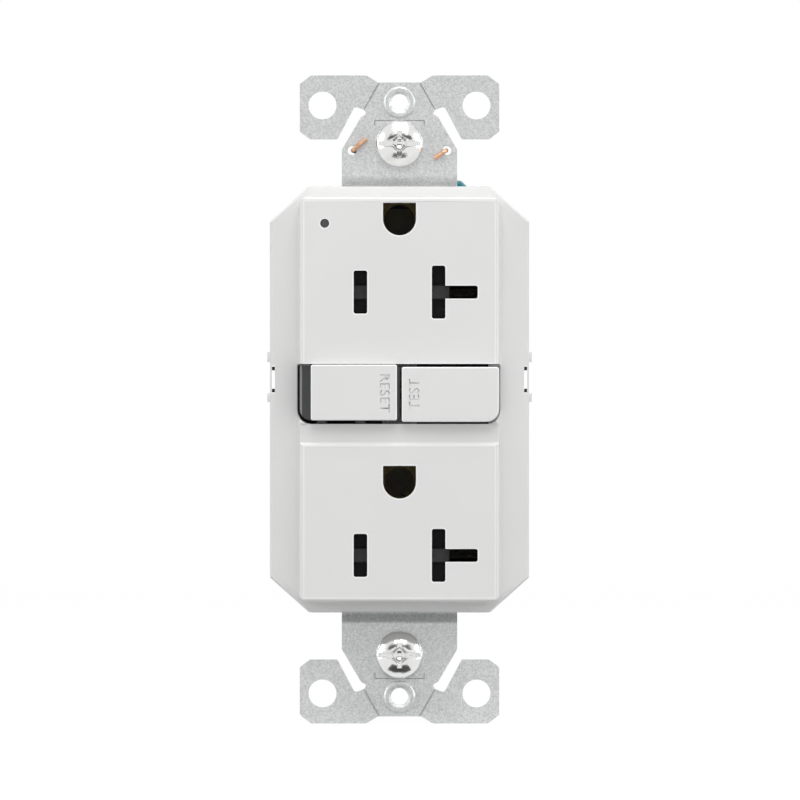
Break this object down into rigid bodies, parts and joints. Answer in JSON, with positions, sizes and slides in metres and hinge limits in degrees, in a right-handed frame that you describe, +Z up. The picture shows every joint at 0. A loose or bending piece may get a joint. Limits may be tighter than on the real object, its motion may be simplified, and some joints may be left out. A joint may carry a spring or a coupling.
{
  "type": "arc-fault duplex receptacle",
  "caption": "Decorator-style duplex receptacle with T-slot tamper-resistant outlets, reset and test paddles between them, and a steel strap with plaster ears.",
  "frame": {"origin": "midway between the two wall-plate screw holes and the two box screws, on the wall plane at the backs of the plaster ears", "axes": "+Z up along the strap, +X right as seen from the front, +Y into the wall, so the face looks towards -Y"},
  "size_m": [0.043, 0.0377, 0.1056],
  "materials": {
    "white_cover": "satin moulded thermoplastic",
    "charcoal_housing": "matt moulded thermoplastic",
    "charcoal_carrier": "satin moulded thermoplastic",
    "galvanised_strap": "galvanised, finely spangled",
    "plated_screw": "bright zinc plate",
    "black_screw": "black oxide",
    "brass": "stamped, unpolished",
    "plated_brass": "nickel plated, satin",
    "green_screw": "teal-green anodised steel",
    "copper": "drawn copper wire",
    "enamel_wire": "enamelled copper winding",
    "spring_steel": "drawn spring wire",
    "plated_steel": "zinc plated",
    "dark_deck": "matt glass-filled plastic",
    "tray_plastic": "matt glass-filled plastic",
    "shutter_plastic": "matt self-lubricating plastic",
    "lifter_plastic": "matt plastic",
    "fibre": "vulcanised fibre",
    "board": "green solder mask",
    "coil_tape": "taped toroid",
    "dark_coil": "varnished toroid",
    "capacitor_sleeve": "dark sleeve",
    "varistor_coat": "dipped coating",
    "chip_black": "moulded package",
    "lamp": "tinted lens",
    "clear_pipe": "clear acrylic"
  },
  "bodies": {
    "housing": {"front_cover": "white_cover", "rear_housing": "charcoal_housing", "mounting_strap": "galvanised_strap", "insulating_deck": "dark_deck", "contact_tray": "tray_plastic", "assembly_screws": "black_screw", "screw_retainers": "fibre", "self_ground_wire": "copper", "upper_ground_contact": "brass", "lower_ground_contact": "brass", "reset_spring": "spring_steel", "test_contact": "brass", "upper_shutter_spring": "spring_steel", "lower_shutter_spring": "spring_steel", "upper_shutter_retainer": "shutter_plastic", "lower_shutter_retainer": "shutter_plastic", "hot_load_bus": "brass", "neutral_load_bus": "plated_brass", "hot_line_bar": "brass", "neutral_line_bar": "plated_brass", "solenoid_bobbin": "lifter_plastic", "solenoid_winding": "enamel_wire", "solenoid_frame": "plated_steel", "plunger_spring": "spring_steel", "circuit_board": "board", "ground_fault_coil": "coil_tape", "arc_fault_coil": "dark_coil", "coil_spool": "chip_black", "capacitors": "capacitor_sleeve", "varistor": "varistor_coat", "board_chips": "chip_black", "indicator_led": "lamp", "light_pipe": "clear_pipe"},
    "reset": {"reset_button": "white_cover", "reset_carrier": "charcoal_carrier"},
    "test": {"test_button": "white_cover", "test_stem": "charcoal_carrier"},
    "upper_hot_shutter": {"upper_left_shutter": "shutter_plastic"},
    "upper_neutral_shutter": {"upper_right_shutter": "shutter_plastic"},
    "lower_hot_shutter": {"lower_left_shutter": "shutter_plastic"},
    "lower_neutral_shutter": {"lower_right_shutter": "shutter_plastic"},
    "lifter": {"contact_lifter": "lifter_plastic"},
    "latch": {"latch_plate": "plated_steel"},
    "plunger": {"plunger": "plated_steel"},
    "hot_arm": {"hot_contact_arm": "copper"},
    "neutral_arm": {"neutral_contact_arm": "copper"},
    "hot_load_terminal": {"hot_load_screw": "brass", "hot_load_clamp": "brass"},
    "hot_line_terminal": {"hot_line_screw": "brass", "hot_line_clamp": "brass"},
    "neutral_load_terminal": {"neutral_load_screw": "plated_screw", "neutral_load_clamp": "plated_brass"},
    "neutral_line_terminal": {"neutral_line_screw": "plated_screw", "neutral_line_clamp": "plated_brass"},
    "ground_terminal": {"ground_screw": "green_screw"},
    "top_box_screw": {"box_screw_top": "plated_screw"},
    "bottom_box_screw": {"box_screw_bottom": "plated_screw"}
  },
  "joints": [
    {"name": "reset_press", "type": "slide", "parent": "housing", "child": "reset", "axis": [0, 1, 0], "range_m": [-0.0012, 0.0015], "stiffness_N_per_m": 900, "deforming": ["reset_spring"]},
    {"name": "test_press", "type": "slide", "parent": "housing", "child": "test", "axis": [0, 1, 0], "range_m": [0, 0.0015], "stiffness_N_per_m": 700},
    {"name": "upper_shutter_slide", "type": "slide", "parent": "housing", "child": "upper_hot_shutter", "axis": [1, 0, 0], "range_m": [0, 0.003], "stiffness_N_per_m": 120, "deforming": ["upper_shutter_spring"]},
    {"name": "upper_shutter_partner", "type": "slide", "parent": "housing", "child": "upper_neutral_shutter", "axis": [1, 0, 0], "range_m": [-0.003, 0]},
    {"name": "lower_shutter_slide", "type": "slide", "parent": "housing", "child": "lower_hot_shutter", "axis": [1, 0, 0], "range_m": [0, 0.003], "stiffness_N_per_m": 120, "deforming": ["lower_shutter_spring"]},
    {"name": "lower_shutter_partner", "type": "slide", "parent": "housing", "child": "lower_neutral_shutter", "axis": [1, 0, 0], "range_m": [-0.003, 0]},
    {"name": "lifter_drop", "type": "slide", "parent": "housing", "child": "lifter", "axis": [0, 1, 0], "range_m": [0, 0.0012], "stiffness_N_per_m": 400},
    {"name": "hot_arm_open", "type": "hinge", "parent": "housing", "child": "hot_arm", "pos_m": [-0.0125, 0.0069, -0.0094], "axis": [-1, 0, 0], "range_deg": [0, 6.81]},
    {"name": "neutral_arm_open", "type": "hinge", "parent": "housing", "child": "neutral_arm", "pos_m": [0.0125, 0.0069, -0.0094], "axis": [-1, 0, 0], "range_deg": [0, 6.81]},
    {"name": "plunger_kick", "type": "slide", "parent": "housing", "child": "plunger", "axis": [0, 0, -1], "range_m": [0, 0.0018], "stiffness_N_per_m": 150, "deforming": ["plunger_spring"]},
    {"name": "latch_slide", "type": "slide", "parent": "lifter", "child": "latch", "axis": [0, 0, -1], "range_m": [0, 0.0018]},
    {"name": "hot_load_clamp_open", "type": "slide", "parent": "housing", "child": "hot_load_terminal", "axis": [-1, 0, 0], "range_m": [0, 0.0022]},
    {"name": "hot_line_clamp_open", "type": "slide", "parent": "housing", "child": "hot_line_terminal", "axis": [-1, 0, 0], "range_m": [0, 0.0022]},
    {"name": "neutral_load_clamp_open", "type": "slide", "parent": "housing", "child": "neutral_load_terminal", "axis": [1, 0, 0], "range_m": [0, 0.0022]},
    {"name": "neutral_line_clamp_open", "type": "slide", "parent": "housing", "child": "neutral_line_terminal", "axis": [1, 0, 0], "range_m": [0, 0.0022]},
    {"name": "ground_screw_open", "type": "slide", "parent": "housing", "child": "ground_terminal", "axis": [1, 0, 0], "range_m": [0, 0.0025]},
    {"name": "top_box_screw_back_out", "type": "slide", "parent": "housing", "child": "top_box_screw", "axis": [0, -1, 0], "range_m": [0, 0.006]},
    {"name": "bottom_box_screw_back_out", "type": "slide", "parent": "housing", "child": "bottom_box_screw", "axis": [0, -1, 0], "range_m": [0, 0.006]}
  ],
  "couplings": [
    {"joint": "upper_shutter_partner", "follows": "upper_shutter_slide", "ratio": -1},
    {"joint": "lower_shutter_partner", "follows": "lower_shutter_slide", "ratio": -1},
    {"joint": "hot_arm_open", "follows": "lifter_drop", "rad_per_m": 96.154},
    {"joint": "neutral_arm_open", "follows": "lifter_drop", "rad_per_m": 96.154},
    {"joint": "latch_slide", "follows": "plunger_kick", "ratio": 1}
  ]
}
